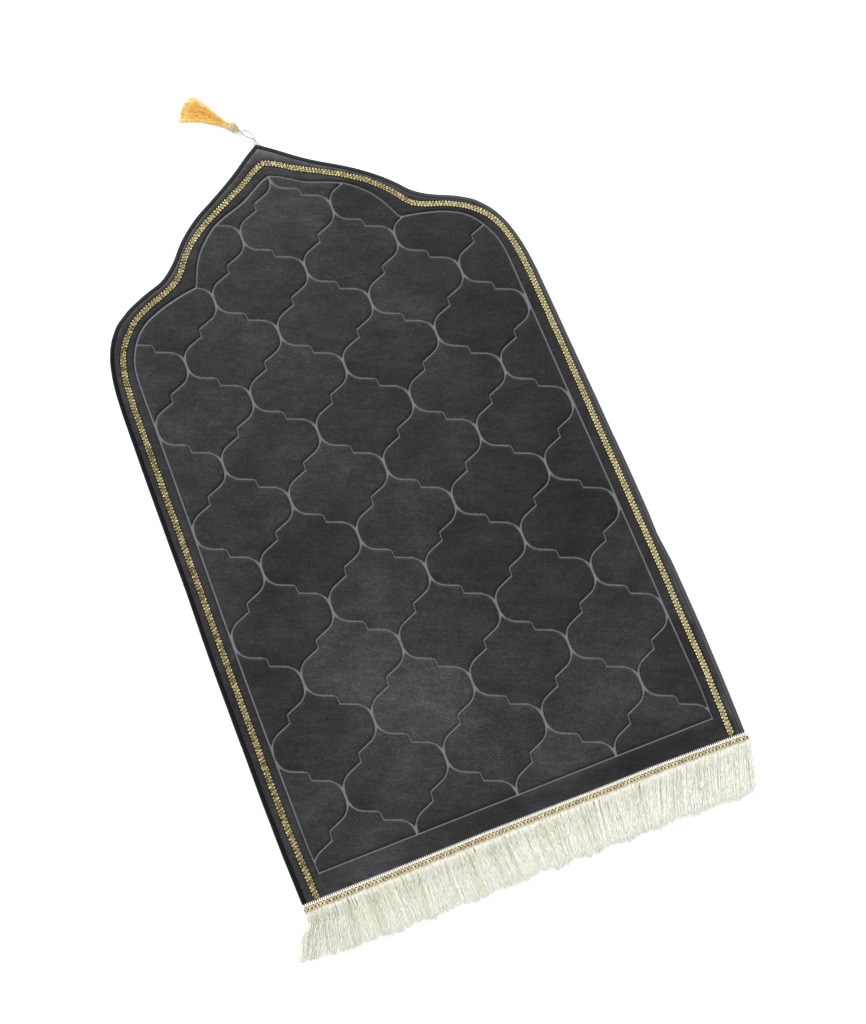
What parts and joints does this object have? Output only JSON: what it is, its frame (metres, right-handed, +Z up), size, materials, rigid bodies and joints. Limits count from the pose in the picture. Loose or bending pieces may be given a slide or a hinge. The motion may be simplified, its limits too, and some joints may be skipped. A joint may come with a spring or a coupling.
{
  "type": "prayer rug",
  "caption": "Padded prayer rug with an arched end, pressed ogee trellis quilting, plaited gold edge braid, white fringe across its foot and a corded yellow tassel at its tip",
  "frame": {"origin": "on the floor under the middle of the padded mat, at the centre of its flat underside", "axes": "+Z up out of the velvet face; +Y along the mat's length towards the arched tip and the tassel; +X across the mat, so the fringe is at -Y"},
  "size_m": [0.6703, 1.2936, 0.0142],
  "materials": {
    "velvet": "crushed charcoal velvet pile, matte with soft sheen, pressed flat and paler along the seams",
    "binding_tape": "near-black woven tape rolled over the edge",
    "gold_braid": "shiny metallic gold yarn in a flat plait",
    "fringe_yarn": "ivory silky yarn with a white picot heading",
    "heading_gold": "metallic gold yarn with pale flecks",
    "tassel_yarn": "silky golden yellow yarn with a wrapped knot",
    "loop_cord": "thin off-white twisted string"
  },
  "bodies": {
    "root": {"rug_body": "velvet", "edge_binding": "binding_tape", "gold_braid": "gold_braid", "fringe": "fringe_yarn", "fringe_gold_braid": "heading_gold", "tassel": "tassel_yarn", "loop_cord_left": "loop_cord", "loop_cord_right": "loop_cord"}
  },
  "joints": []
}
